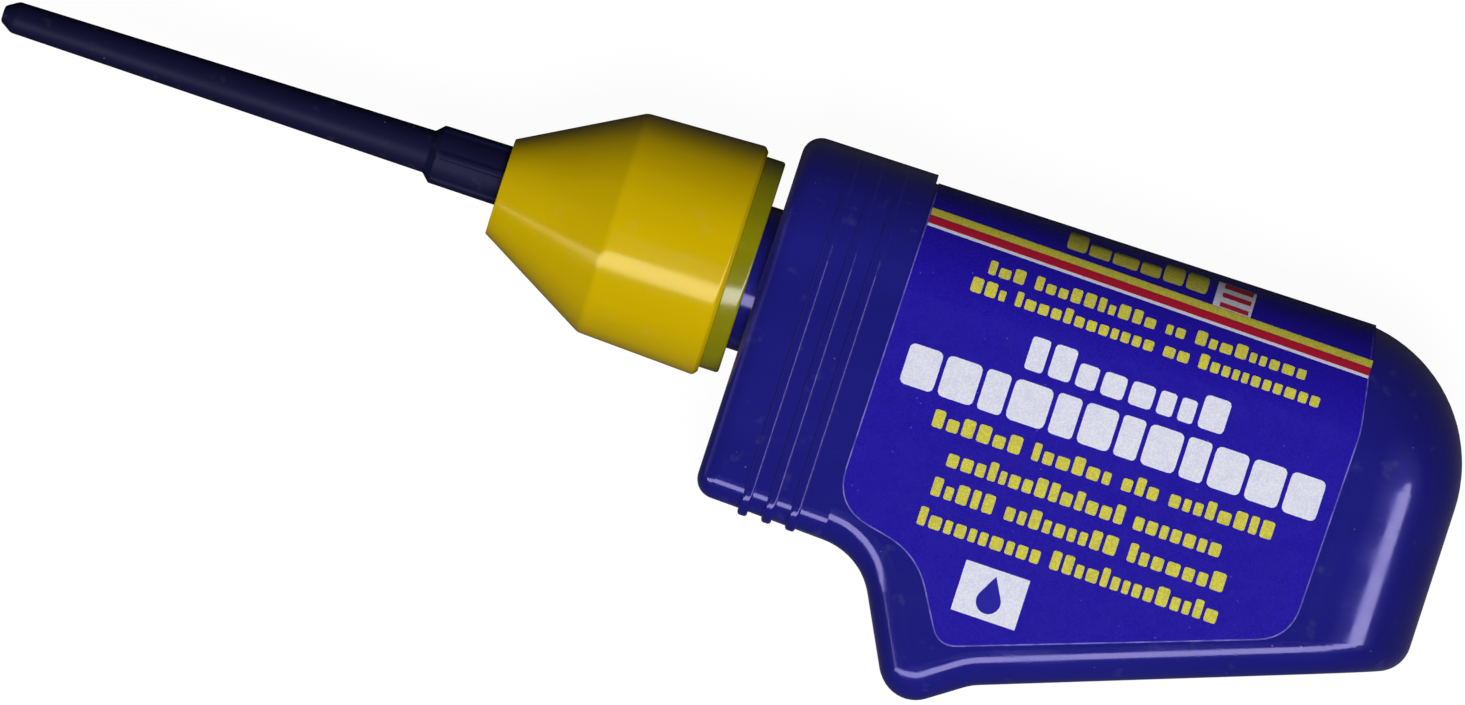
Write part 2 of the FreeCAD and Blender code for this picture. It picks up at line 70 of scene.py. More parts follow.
class Look:
    """A Principled material that is built node by node. Its texture space is in mm."""

    def __init__(self, name, roughness, specular=0.5):
        self.material = bpy.data.materials.new(name)
        self.material.use_nodes = True
        self.tree = self.material.node_tree
        self.shader = self.tree.nodes["Principled BSDF"]
        self.shader.inputs["Roughness"].default_value = roughness
        self.shader.inputs["Specular IOR Level"].default_value = specular
        place = self.tree.nodes.new("ShaderNodeTexCoord")
        self.space = self.scaled(place.outputs["Object"], (1000, 1000, 1000))
        self.height = None

    def add(self, kind, **settings):
        """A new node with some of its settings."""
        node = self.tree.nodes.new(kind)
        for key, value in settings.items():
            setattr(node, key, value)
        return node

    def link(self, source, target):
        """Join an output to an input."""
        self.tree.links.new(source, target)

    def scaled(self, source, scale):
        """A vector with each of its parts multiplied."""
        node = self.add("ShaderNodeVectorMath", operation="MULTIPLY")
        self.link(source, node.inputs[0])
        node.inputs[1].default_value = scale
        return node.outputs[0]

    def math(self, operation, first, second):
        """Result of an operation on two numbers or sockets."""
        node = self.add("ShaderNodeMath", operation=operation)
        for socket, value in zip(node.inputs, (first, second)):
            if isinstance(value, (int, float)):
                socket.default_value = value
            else:
                self.link(value, socket)
        return node.outputs[0]

    def noise(self, size, stretch=(1, 1, 1), detail=3.0):
        """Noise from 0 to 1 whose lumps are about size mm, pulled long where stretch is small."""
        node = self.add("ShaderNodeTexNoise")
        node.inputs["Scale"].default_value = 1.0 / size
        node.inputs["Detail"].default_value = detail
        self.link(self.scaled(self.space, stretch), node.inputs["Vector"])
        return node.outputs["Fac"]

    def cells(self, size):
        """Distance from the nearest of many scattered points, about size mm apart."""
        node = self.add("ShaderNodeTexVoronoi")
        node.inputs["Scale"].default_value = 1.0 / size
        self.link(self.space, node.inputs["Vector"])
        return node.outputs["Distance"]

    def ramp(self, source, low, high, first=0.0, last=1.0):
        """Source from low to high, turned to first to last and held at both ends."""
        node = self.add("ShaderNodeMapRange")
        node.clamp = True
        self.link(source, node.inputs["Value"])
        values = (("From Min", low), ("From Max", high), ("To Min", first), ("To Max", last))
        for socket, value in values:
            node.inputs[socket].default_value = value
        return node.outputs["Result"]

    def mix(self, amount, first, second):
        """Blend of two colours or colour sockets."""
        node = self.add("ShaderNodeMix", data_type="RGBA")
        self.link(amount, node.inputs["Factor"])
        for socket, value in ((node.inputs[6], first), (node.inputs[7], second)):
            if isinstance(value, tuple):
                socket.default_value = (*value, 1)
            else:
                self.link(value, socket)
        return node.outputs[2]

    def colour(self, source):
        """Take the base colour from a socket."""
        self.link(source, self.shader.inputs["Base Color"])

    def roughness(self, source):
        """Take the roughness from a socket."""
        self.link(source, self.shader.inputs["Roughness"])

    def raise_by(self, source, depth):
        """Add a relief of so many mm to the surface."""
        relief = self.math("MULTIPLY", source, depth * MM)
        if self.height is not None:
            relief = self.math("ADD", self.height, relief)
        self.height = relief

    def done(self):
        """Apply the relief, if there is any, and hand back the material."""
        if self.height is not None:
            bump = self.add("ShaderNodeBump")
            bump.inputs["Distance"].default_value = 1.0
            self.link(self.height, bump.inputs["Height"])
            self.link(bump.outputs["Normal"], self.shader.inputs["Normal"])
        return self.material


def moulded(name, colour, shade, roughness, peel=0.004, flow=(0.25, 1, 1), wear=0.5, specular=0.5):
    """Moulded plastic: cloudy colour, orange peel, flow lines, fine scratches and dust."""
    look = Look(name, roughness, specular)
    cloud = look.ramp(look.noise(9.0, flow), 0.35, 0.65)
    tint = look.mix(cloud, shade, colour)
    dust = look.ramp(look.cells(2.3), 0.035, 0.02, 0, wear)
    grime = look.ramp(look.noise(2.2, (1, 1, 1), 5.0), 0.62, 0.8, 0, 0.12 * wear)
    tint = look.mix(look.math("ADD", dust, grime), tint, (0.5, 0.5, 0.52))
    look.colour(tint)
    scratch = look.ramp(look.noise(0.5, (0.07, 1.3, 1), 2.0), 0.66, 0.72)
    rough = look.ramp(look.noise(3.0, flow), 0.3, 0.7, roughness - 0.04, roughness + 0.05)
    look.roughness(look.math("ADD", rough, look.math("MULTIPLY", scratch, 0.10 * wear)))
    look.raise_by(look.noise(0.8), peel)
    look.raise_by(look.noise(5.0, flow), peel * 3)
    look.raise_by(scratch, -0.0015)
    return look


def bottle_look():
    """Blue blow-moulded plastic, with a raised parting line round mid-thickness."""
    look = moulded("bottle_blue", (0.0150, 0.0145, 0.236), (0.0124, 0.0118, 0.206), 0.12, 0.002)
    look.shader.inputs["Specular Tint"].default_value = (0.62, 0.56, 1.0, 1)
    look.shader.inputs["Sheen Weight"].default_value = 0.16
    look.shader.inputs["Sheen Roughness"].default_value = 0.4
    look.shader.inputs["Sheen Tint"].default_value = (0.42, 0.36, 1.0, 1)
    split = look.add("ShaderNodeSeparateXYZ")
    look.link(look.space, split.inputs[0])
    off = look.math("ABSOLUTE", look.math("SUBTRACT", split.outputs["Z"], MID_Z), 0)
    line = look.ramp(off, 0.10, 0.22, 1, 0)
    wander = look.ramp(look.noise(6.0), 0.3, 0.7, 0.4, 1.0)
    look.raise_by(look.math("MULTIPLY", line, wander), 0.05)
    return look.done()


def cone_look():
    """Yellow glossy injection-moulded plastic."""
    light, dark = (0.73, 0.50, 0.0006), (0.66, 0.45, 0.0006)
    look = moulded("cone_yellow", light, dark, 0.16, 0.002, wear=0.3, specular=0.3)
    look.shader.inputs["Specular Tint"].default_value = (1.0, 0.93, 0.60, 1)
    return look.done()


def closure_look():
    """Olive, slightly see-through plastic of the closure under the cone."""
    look = moulded("closure_olive", (0.285, 0.272, 0.002), (0.23, 0.22, 0.002), 0.18)
    look.shader.inputs["Subsurface Weight"].default_value = 0.1
    look.shader.inputs["Subsurface Scale"].default_value = 0.5 * MM
    return look.done()


def sheath_look():
    """Very dark navy plastic with a satin skin."""
    light, dark = (0.0090, 0.0090, 0.044), (0.0066, 0.0066, 0.034)
    return moulded("sheath_navy", light, dark, 0.5, 0.006, specular=0.06).done()


def hub_look():
    """Navy plastic of the needle's bush."""
    return moulded("hub_navy", (0.012, 0.012, 0.05), (0.009, 0.009, 0.04), 0.36).done()


def plug_look():
    """Natural, milky polyethylene."""
    look = moulded("plug_natural", (0.62, 0.62, 0.57), (0.52, 0.52, 0.48), 0.42, 0.006)
    look.shader.inputs["Subsurface Weight"].default_value = 0.35
    look.shader.inputs["Subsurface Scale"].default_value = 1.0 * MM
    return look.done()


def liner_look():
    """White closed-cell foam with fine pores, their pits painted grey as painted shade."""
    look = Look("liner_foam", 0.8)
    pore_pits_and_shade = look.ramp(look.cells(0.35), 0.0, 0.4)
    # the grey at each pore's centre is painted shade in its pit, not a colour of the foam
    look.colour(look.mix(pore_pits_and_shade, (0.45, 0.45, 0.43), (0.72, 0.72, 0.69)))
    look.raise_by(pore_pits_and_shade, 0.05)
    return look.done()


def steel_look():
    """Drawn stainless tube, with fine lines along it."""
    look = Look("needle_steel", 0.25)
    look.shader.inputs["Metallic"].default_value = 1.0
    drawn = look.noise(0.12, (0.02, 1, 1), 4.0)
    look.colour(look.mix(drawn, (0.42, 0.43, 0.45), (0.66, 0.67, 0.68)))
    look.roughness(look.ramp(drawn, 0.3, 0.7, 0.18, 0.38))
    look.raise_by(drawn, 0.004)
    return look.done()


def cement_look():
    """Clear, faintly straw-coloured liquid."""
    look = Look("cement_clear", 0.02)
    haze = look.ramp(look.noise(12.0), 0.3, 0.7)
    look.colour(look.mix(haze, (0.86, 0.84, 0.74), (0.93, 0.92, 0.86)))
    look.shader.inputs["Transmission Weight"].default_value = 0.95
    look.shader.inputs["IOR"].default_value = 1.43
    look.raise_by(look.noise(15.0), 0.03)
    return look.done()


def label_look():
    """Blue printed film: fine press grain, faint blotches, pale specks and a satin skin."""
    look = Look("label_blue", 0.26, 0.15)
    grain = look.ramp(look.noise(0.16, (1, 1, 1), 2.0), 0.3, 0.7)
    tint = look.mix(grain, (0.0105, 0.0045, 0.300), (0.0235, 0.0110, 0.460))
    blotch = look.ramp(look.noise(6.0), 0.35, 0.65, 0, 0.35)
    tint = look.mix(blotch, tint, (0.017, 0.009, 0.34))
    specks = look.ramp(look.cells(1.7), 0.05, 0.03, 0, 0.35)
    look.colour(look.mix(specks, tint, (0.30, 0.28, 0.62)))
    look.roughness(look.ramp(look.noise(2.0), 0.3, 0.7, 0.24, 0.31))
    look.raise_by(grain, 0.003)
    look.raise_by(look.noise(4.0), 0.02)
    return look.done()


def ink_look(name, colour, thin):
    """Printed ink that lets the blue film through a little, in a fine dot screen."""
    look = Look(name, 0.32, 0.2)
    screen = look.ramp(look.cells(0.22), 0.25, 0.6, 0, 0.55)
    patchy = look.ramp(look.noise(1.2), 0.45, 0.75, 0, 0.3)
    look.colour(look.mix(look.math("ADD", screen, patchy), colour, thin))
    look.raise_by(screen, 0.003)
    return look.done()


def edge_look():
    """Pale cut edge of the label film."""
    look = Look("label_edge", 0.5)
    worn = look.ramp(look.noise(1.5), 0.4, 0.6)
    look.colour(look.mix(worn, (0.05, 0.045, 0.36), (0.16, 0.14, 0.55)))
    return look.done()


# ---------------------------------------------------------------- mesh helpers


def rounded(points, steps=5):
    """Path of (x, y, radius) corners with each corner eased into a smooth bend.

    A corner whose radius is 0 stays sharp.
    """
    path = []
    count = len(points)
    for number, (x, y, radius) in enumerate(points):
        here = Vector((x, y))
        if radius == 0:
            path.append(here)
            continue
        before = Vector(points[number - 1][:2]) - here
        after = Vector(points[(number + 1) % count][:2]) - here
        half_turn = (math.pi - before.angle(after)) / 2
        reach = radius * math.tan(half_turn)
        reach = min(reach, 0.49 * before.length, 0.49 * after.length)
        start = here + before.normalized() * reach
        end = here + after.normalized() * reach
        for step in range(steps + 1):
            t = step / steps
            bend = (1 - t) ** 2 * start + 2 * t * (1 - t) * here + t**2 * end
            path.append(bend)
    return path


def new_piece(name, vertices, faces, body, slot, material, crease=35):
    """Mesh object from vertices in mm, smooth but for its sharp edges, riding on a body."""
    mesh = bpy.data.meshes.new(name)
    mesh.from_pydata([Vector(v) * MM for v in vertices], [], faces)
    work = bmesh.new()
    work.from_mesh(mesh)
    bmesh.ops.remove_doubles(work, verts=work.verts, dist=1e-7)
    bmesh.ops.recalc_face_normals(work, faces=work.faces)
    work.to_mesh(mesh)
    work.free()
    mesh.shade_smooth()
    mesh.set_sharp_from_angle(angle=math.radians(crease))
    mesh.materials.append(material)
    piece = bpy.data.objects.new(name, mesh)
    bpy.context.scene.collection.objects.link(piece)
    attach(piece, body)
    return piece


def turned(path, axis_y, segments=160, swell=None):
    """Vertices and faces of a closed profile turned about a line along X.

    swell(x, r, angle) gives what is added to the radius there.
    """
    vertices, faces = [], []
    count = len(path)
    on_axis = path[0].y == 0 and path[-1].y == 0
    for step in range(segments):
        angle = 2 * math.pi * step / segments
        for x, r in path:
            if swell is not None:
                r += swell(x, r, angle)
            vertices.append((x, axis_y + r * math.sin(angle), MID_Z + r * math.cos(angle)))
    for step in range(segments):
        this, other = step * count, (step + 1) % segments * count
        for number in range(count - 1 if on_axis else count):
            after = (number + 1) % count
            faces.append((this + number, this + after, other + after, other + number))
    return vertices, faces


def ridge(start_x, pitch, turns, base, crest, foot, top, segments=72):
    """Screw ridge about the closure's axis, with ends that run out to nothing.

    base and crest are radii, foot and top the widths there.
    """
    vertices, faces = [], []
    total = int(segments * turns)
    for step in range(total + 1):
        share = step / total
        fade = min(1.0, 8 * share, 8 * (1 - share))
        angle = -2 * math.pi * turns * share
        x = start_x + pitch * turns * share
        tip = base + (crest - base) * fade
        corners = ((base, -foot / 2), (tip, -top / 2), (tip, top / 2), (base, foot / 2))
        for r, along in corners:
            y = AXIS_Y + r * math.sin(angle)
            vertices.append((x + along, y, MID_Z + r * math.cos(angle)))
    for step in range(total):
        for number in range(4):
            after = (number + 1) % 4
            this, other = 4 * step, 4 * (step + 1)
            faces.append((this + number, this + after, other + after, other + number))
    faces.append((0, 1, 2, 3))
    last = 4 * total
    faces.append((last + 3, last + 2, last + 1, last))
    return vertices, faces


def joined(*parts):
    """Several (vertices, faces) lists as one."""
    vertices, faces = [], []
    for some_vertices, some_faces in parts:
        base = len(vertices)
        vertices += some_vertices
        faces += [tuple(base + number for number in face) for face in some_faces]
    return vertices, faces


# ---------------------------------------------------------------- closure and needle

CONE_FRONT_X, CONE_REAR_X = span("cone_shroud", 0)
BOSS_FRONT_X, FLANGE_END_X = span("screw_closure", 0)
HUB_FRONT_X, HUB_REAR_X = span("needle_hub", 0)
NEEDLE_TIP_X = span("needle_tube", 0)[0]
SHEATH_TIP_X, COLLAR_END_X = span("needle_sheath", 0)
DECK_X = span("sealing_liner", 0)[0] - 0.05  # inner face of the closure's deck
COLLAR_X = SHEATH_TIP_X + 44.8  # where the collar starts
COLLAR_RIBS = 6
RIB_RISE = 0.22
RIB_HALF_WIDTH = 0.42
SHROUD_BORE = 10.6  # the cone's inner radius, and the closure's where the cone sits on it
CONE_OPENING = 4.7
FLANGE_RADIUS = 11.05
SKIRT_RADIUS = 9.2
SKIRT_BORE = 7.7
ENTRY_RADIUS = 8.85  # of the short step that takes in the neck's root
ENTRY_DEPTH = 1.2
DECK_THICK = 1.4
LIQUID_HOLE = 1.2
BOSS_RADIUS = 4.2
HUB_RADIUS = 2.5
NEEDLE_RADIUS = 0.4
NEEDLE_BORE = 0.25
PITCH = 3.0
TURNS = 1.25


def make_cone():
    """Yellow cone pushed over the closure, with a soft rim round its front opening."""
    profile = [
        (CONE_FRONT_X, CONE_OPENING, 0.12),
        (CONE_FRONT_X, 4.95, 0.14),
        (-23.6, 5.2, 0.3),
        (-12.25, 11.5, 1.6),
        (0.0, 12.0, 0.5),
        (CONE_REAR_X, 11.5, 0.15),
        (CONE_REAR_X, SHROUD_BORE, 0.1),
        (-11.5, SHROUD_BORE, 0.5),
        (-21.0, CONE_OPENING, 0.5),
    ]
    vertices, faces = turned(rounded(profile, 7), AXIS_Y, 192)
    cone = new_piece("cone", vertices, faces, "closure", "cone_yellow", cone_look())
    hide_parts("cone_shroud")


def make_closure():
    """Closure under the cone: flange, skirt, deck, needle boss and its screw ridge."""
    profile = [
        (DECK_X - DECK_THICK, LIQUID_HOLE, 0.1),
        (DECK_X - DECK_THICK, SKIRT_RADIUS, 0.5),
        (-1.2, SKIRT_RADIUS, 0.2),
        (-1.2, SHROUD_BORE, 0.2),
        (CONE_REAR_X, SHROUD_BORE, 0.05),
        (CONE_REAR_X, FLANGE_RADIUS, 0.08),
        (FLANGE_END_X, FLANGE_RADIUS, 0.35),
        (FLANGE_END_X, ENTRY_RADIUS, 0.2),
        (FLANGE_END_X - ENTRY_DEPTH, ENTRY_RADIUS, 0.1),
        (FLANGE_END_X - ENTRY_DEPTH, SKIRT_BORE, 0.2),
        (DECK_X, SKIRT_BORE, 0.4),
        (DECK_X, LIQUID_HOLE, 0.1),
    ]
    boss = [
        (BOSS_FRONT_X, HUB_RADIUS, 0.1),
        (BOSS_FRONT_X, BOSS_RADIUS, 0.4),
        (DECK_X - 1.2, BOSS_RADIUS, 0),
        (DECK_X - 1.2, HUB_RADIUS, 0),
    ]
    solid = joined(
        turned(rounded(profile), AXIS_Y),
        turned(rounded(boss), NEEDLE_Y, 96),
        ridge(-4.9, PITCH, TURNS, SKIRT_BORE + 0.05, 6.8, 1.4, 0.7),
    )
    closure = new_piece("closure_ring", *solid, "closure", "closure_olive", closure_look())
    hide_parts("screw_closure")


def make_hub():
    """Bush that holds the needle, with a flange and a spigot for the sheath."""
    profile = [
        (HUB_FRONT_X, NEEDLE_RADIUS, 0.05),
        (HUB_FRONT_X, 1.95, 0.3),
        (-17.8, 2.1, 0.1),
        (-17.8, 3.5, 0.2),
        (BOSS_FRONT_X, 3.5, 0.1),
        (BOSS_FRONT_X, HUB_RADIUS, 0.1),
        (HUB_REAR_X, HUB_RADIUS, 0.3),
        (HUB_REAR_X, NEEDLE_RADIUS, 0.05),
    ]
    hub = new_piece(
        "hub", *turned(rounded(profile), NEEDLE_Y, 96), "closure", "hub_navy", hub_look()
    )
    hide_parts("needle_hub")


def make_needle():
    """Thin steel tube, its end deburred."""
    profile = [
        (NEEDLE_TIP_X, NEEDLE_BORE, 0.05),
        (NEEDLE_TIP_X, NEEDLE_RADIUS, 0.08),
        (HUB_REAR_X, NEEDLE_RADIUS, 0.03),
        (HUB_REAR_X, NEEDLE_BORE, 0.03),
    ]
    tube = turned(rounded(profile), NEEDLE_Y, 48)
    needle = new_piece("needle", *tube, "closure", "needle_steel", steel_look())
    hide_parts("needle_tube")


def collar_swell(x, r, angle):
    """Height of the sheath's six grip ribs above its collar."""
    flat_start = COLLAR_X + 0.6
    if x < flat_start or r < 2.6:
        return 0.0
    turn = (angle * COLLAR_RIBS / (2 * math.pi)) % 1.0
    off_rib = min(turn, 1 - turn) * 2 * math.pi / COLLAR_RIBS * r
    fade = min(1.0, (x - flat_start) / 0.5)
    return RIB_RISE * fade * max(0.0, 1 - (off_rib / RIB_HALF_WIDTH) ** 4)


def make_sheath():
    """Closed tapering tube over the needle, with a ribbed collar."""
    profile = [
        (SHEATH_TIP_X, 0.0, 0),
        (SHEATH_TIP_X, 0.8, 0.5),
        (SHEATH_TIP_X + 1.3, 1.62, 0.8),
        (COLLAR_X, 2.2, 0.3),
        (COLLAR_X + 0.8, 3.0, 0.3),
        (COLLAR_X + 1.6, 3.01, 0.01),
        (COLLAR_END_X, 3.15, 0.25),
        (COLLAR_END_X, 2.15, 0.15),
        (-23.4, 2.15, 0.1),
        (-23.4, 1.25, 0.2),
        (SHEATH_TIP_X + 1.4, 0.75, 0.2),
        (SHEATH_TIP_X + 1.4, 0.0, 0),
    ]
    path = rounded(profile, 5)
    tube = turned(path, NEEDLE_Y, 144, collar_swell)
    sheath = new_piece("sheath", *tube, "sheath", "sheath_navy", sheath_look())
    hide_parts("needle_sheath")


# ---------------------------------------------------------------- label and its print

LABEL_HALF = span("wrap_label", 2)[1] - MID_Z  # from mid-thickness to its flat outer face
SPINE_BEND = 11.12  # the label's outer radius round the spine
SPINE_BEND_Y = span("wrap_label", 1)[1] - SPINE_BEND  # where flat turns into round
INK = 0.02  # how far a printed island stands out of the label, and how deep it sits in it
EDGE_WIDTH = 0.13  # of the pale cut edge
TEXT_SLOPE = 0.012  # how far the print falls for each mm to the right
LOW_LETTER = 0.70  # height of a low block as a share of a tall one's


def on_label(x, y, lift, side):
    """Point on the label's outer face over (x, y), on the front (side 1) or back (-1)."""
    over = max(0.0, y - SPINE_BEND_Y)
    radius = SPINE_BEND + lift
    depth = math.sqrt(max(0.0, radius**2 - over**2))
    height = LABEL_HALF - SPINE_BEND + depth
    return (x, y, MID_Z + side * height)


def patch(x0, x1, y0, y1, corner, slope, side):
    """Printed island: a rectangle with rounded corners that follows the label.

    slope is how far it falls for each mm to the right.
    """
    rows = max(6, math.ceil((y1 - y0) / 0.4))
    columns = max(1, math.ceil((x1 - x0) / 3.0))
    middle_x = (x0 + x1) / 2
    vertices, faces = [], []
    for lift in (-INK, INK):
        for row in range(rows + 1):
            y = y0 + (y1 - y0) * (1 - math.cos(math.pi * row / rows)) / 2
            near_end = max(0.0, min(y - y0, y1 - y))
            inset = 0.0
            if near_end < corner:
                inset = corner - math.sqrt(corner**2 - (corner - near_end) ** 2)
            for column in range(columns + 1):
                x = x0 + inset + (x1 - x0 - 2 * inset) * column / columns
                vertices.append(on_label(x, y - slope * (x - middle_x), lift, side))
    wide = columns + 1
    layer = wide * (rows + 1)
    for row in range(rows):
        for column in range(columns):
            a = row * wide + column
            low = (a, a + 1, a + wide + 1, a + wide)
            faces.append(low)
            faces.append(tuple(number + layer for number in reversed(low)))
    rim = list(range(wide))
    rim += [row * wide + columns for row in range(1, rows + 1)]
    rim += [rows * wide + column for column in range(columns - 1, -1, -1)]
    rim += [row * wide for row in range(rows - 1, 0, -1)]
    for number, a in enumerate(rim):
        b = rim[(number + 1) % len(rim)]
        faces.append((a, a + layer, b + layer, b))
    return vertices, faces


def words(x0, x1, low, high, letters, tone, tall_share=0.3, gap=0.3, side=1):
    """A line of print, as plain blocks in place of letters.

    letters gives how many blocks each word has, tone the seed of their varied widths, and
    tall_share how many of them reach the line's full height.
    """
    dice = random.Random(tone)
    shares = []
    for count in letters:
        shares += [dice.uniform(0.6, 1.1) for _ in range(count)]
        shares.append(None)
    shares.pop()
    space = 0.7
    total = sum(space if share is None else share + gap for share in shares) - gap
    scale = (x1 - x0) / total
    middle_x = (x0 + x1) / 2
    x = x0
    islands = []
    for share in shares:
        if share is None:
            x += space * scale
            continue
        wide = share * scale
        drop = TEXT_SLOPE * (x + wide / 2 - middle_x)
        top = high if dice.random() < tall_share else low + LOW_LETTER * (high - low)
        corner = 0.16 * min(wide, top - low)
        ends = (x, x + wide, low - drop, top - drop)
        islands.append(patch(*ends, corner, TEXT_SLOPE, side))
        x += wide + gap * scale
    return islands


def drop_mark(x, y, radius, side):
    """Plain drop shape, a round with a pointed top, on the label's flat face."""
    outline = [(x, y + 2.1 * radius)]
    for step in range(25):
        angle = math.radians(30 - 240 * step / 24)
        outline.append((x + radius * math.cos(angle), y + radius * math.sin(angle)))
    count = len(outline)
    vertices = [on_label(*point, lift, side) for lift in (0.0, 2 * INK) for point in outline]
    faces = [tuple(range(count)), tuple(range(2 * count - 1, count - 1, -1))]
    for number in range(count):
        after = (number + 1) % count
        faces.append((number, after, after + count, number + count))
    return vertices, faces


def label_border(side):
    """Thin pale cut edge along the label's outline, from the spine round to the spine."""
    corners = [
        (17.55, 24.5, 0),
        (17.4, -9.3, 5.0),
        (26.8, -11.25, 8.0),
        (31.6, -19.5, 2.5),
        (64.8, -7.9, 4.8),
        (65.2, 14.0, 15.0),
        (63.4, 24.5, 0),
    ]
    path = rounded(corners, 8)
    fine = []
    for start, end in zip(path, path[1:]):
        cuts = max(1, math.ceil((end - start).length / 0.5))
        fine += [start.lerp(end, cut / cuts) for cut in range(cuts)]
    fine.append(path[-1])
    vertices, faces = [], []
    for number, point in enumerate(fine):
        ahead = fine[min(number + 1, len(fine) - 1)] - fine[max(number - 1, 0)]
        inward = Vector((-ahead.y, ahead.x)).normalized()
        for depth, lift in ((0.0, -0.06), (0.0, 0.012), (EDGE_WIDTH, 0.012), (EDGE_WIDTH, -0.06)):
            x, y = point + inward * depth
            vertices.append(on_label(x, y, lift, side))
    for number in range(len(fine) - 1):
        for corner in range(4):
            after = (corner + 1) % 4
            this, other = 4 * number, 4 * (number + 1)
            faces.append((this + corner, this + after, other + after, other + corner))
    last = 4 * (len(fine) - 1)
    faces += [(3, 2, 1, 0), (last, last + 1, last + 2, last + 3)]
    return vertices, faces


STRIPE_LEFT_X = 17.7
STRIPE_RIGHT_X = 64.2
STRIPE_SLOPE = 0.022


def stripe(top, thick, side):
    """Stripe right across the label near the spine; top is its upper edge half-way."""
    return patch(STRIPE_LEFT_X, STRIPE_RIGHT_X, top - thick, top, 0.02, STRIPE_SLOPE, side)


def spine_print(inks, side):
    """Three stripes, and above them a row of blocks and a barred badge."""
    inks["yellow"].append(stripe(21.6, 0.75, side))
    inks["red"].append(stripe(20.85, 0.82, side))
    inks["white"].append(stripe(20.03, 0.3, side))
    inks["yellow"] += words(31.6, 46.3, 22.3, 24.0, (6,), 11, 0.4, 0.12, side)
    inks["white"].append(patch(47.2, 51.2, 21.35, 23.9, 0.05, STRIPE_SLOPE, side))
    for low in (21.5, 22.5, 23.4):
        inks["bars"].append(patch(47.9, 50.9, low, low + 0.45, 0.02, STRIPE_SLOPE, side))


def front_print(inks):
    """What is printed on the front, with blocks in place of all words and marks."""
    spine_print(inks, 1)
    yellow, white = inks["yellow"], inks["white"]
    yellow += words(24.9, 58.2, 17.3, 18.7, (3, 10, 2, 9), 1)
    yellow += words(23.7, 60.3, 15.1, 16.6, (3, 12, 2, 11), 2)
    white += words(31.2, 52.1, 9.5, 12.9, (8,), 3, 0.35, 0.2)
    white += words(19.8, 63.5, 4.2, 8.4, (12,), 24, 1.0, 0.13)
    yellow += words(24.2, 59.9, 1.1, 2.9, (6, 6, 3, 8), 5)
    yellow += words(26.8, 55.5, -2.2, -0.3, (14, 7), 6)
    yellow += words(26.2, 56.9, -5.4, -3.5, (5, 9, 7), 7)
    yellow += words(25.8, 57.2, -8.6, -6.7, (10, 14), 8)
    white.append(patch(31.7, 38.4, -15.5, -10.3, 0.05, TEXT_SLOPE, 1))
    inks["mark"].append(drop_mark(35.05, -13.6, 1.25, 1))


def back_print(inks):
    """Small print on the back: a heading, rows of blocks and a row of drop marks."""
    spine_print(inks, -1)
    inks["white"] += words(21.5, 45.0, 13.6, 15.8, (9,), 31, 1.0, 0.15, -1)
    for row in range(8):
        high = 11.6 - 2.0 * row
        end = 60.5 if row % 3 else 52.0
        inks["yellow"] += words(21.5, end, high - 1.0, high, (7, 4, 9, 5, 8), 40 + row, side=-1)
    for number in range(3):
        left = 30.5 + 6.6 * number
        inks["white"].append(patch(left, left + 5.2, -12.0, -6.8, 0.3, 0, -1))
        inks["mark"].append(drop_mark(left + 2.6, -10.1, 1.25, -1))


def make_print():
    """All that is printed on the label, one piece for each ink."""
    inks = {"yellow": [], "red": [], "white": [], "bars": [], "mark": []}
    front_print(inks)
    back_print(inks)
    looks = {
        "yellow": ink_look("ink_yellow", (0.80, 0.74, 0.06), (0.50, 0.46, 0.09)),
        "red": ink_look("ink_red", (0.60, 0.012, 0.030), (0.40, 0.012, 0.06)),
        "white": ink_look("ink_white", (0.88, 0.89, 0.97), (0.68, 0.68, 0.88)),
        "bars": ink_look("ink_bars", (0.60, 0.02, 0.035), (0.45, 0.02, 0.06)),
        "mark": ink_look("ink_mark", (0.020, 0.014, 0.38), (0.016, 0.012, 0.30)),
    }
    for ink, islands in inks.items():
        piece = joined(*islands)
        if ink == "bars":
            piece = ([lifted(v, 0.03) for v in piece[0]], piece[1])
        new_piece("print_" + ink, *piece, "bottle", "label_blue", looks[ink], 60)
    border = joined(label_border(1), label_border(-1))
    new_piece("label_edge", *border, "bottle", "label_blue", edge_look(), 60)


def lifted(vertex, height):
    """A point of the label's print, moved away from mid-thickness."""
    x, y, z = vertex
    return (x, y, z + math.copysign(height, z - MID_Z))


def paint(node, material):
    """Give a CAD node that is kept as it is its material."""
    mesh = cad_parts[node].data
    mesh.materials.clear()
    mesh.materials.append(material)


make_print()
make_cone()
make_closure()
make_hub()
make_needle()
make_sheath()
paint("bottle_shell", bottle_look())
paint("wrap_label", label_look())
paint("neck_plug", plug_look())
paint("sealing_liner", liner_look())
paint("liquid_cement", cement_look())

# ---------------------------------------------------------------- camera, floor and light

LIE_ANGLE = math.radians(17.98)  # how far the bottle is turned clockwise in the picture
VIEW_CENTRE = Vector((3.15, 2.15, 12.0)) * MM  # what the middle of the picture shows
VIEW_WIDTH = 146.5 * MM
VIEW_DISTANCE = 3000 * MM
SENSOR = 36.0

# Lights. An angle is how far a light leans, in degrees, from straight above the object:
# the lamp and the soft light towards the picture's lower edge, and a card towards the base
# end, or towards the needle's tip where it is negative.
LAMP_SIZE = (2.05, 0.16)
LAMP_RADIANCE = 9.5
LAMP_LEAN = 33
LAMP_AWAY = 0.5
SOFT_SIZE = (0.6, 0.6)
SOFT_RADIANCE = 11.8
SOFT_LEAN = 20
SOFT_AWAY = 1.2
CARD_SIZE = (0.9, 0.9)
CARD_AWAY = 0.9
CARD_SPREAD = math.radians(56)
CARD_TINT = (0.55, 0.55, 1.0)
CARDS = {"base_card": (55, 0.11), "tip_card": (-86, 0.10)}  # lean and radiance
ROOM_FOR_DIFFUSE = 0.035
ROOM_FOR_GLOSS = 0.03
FLOOR_HALF = 4.0
FLOOR_GREY = 0.06
FLOOR_GLOW = 0.96


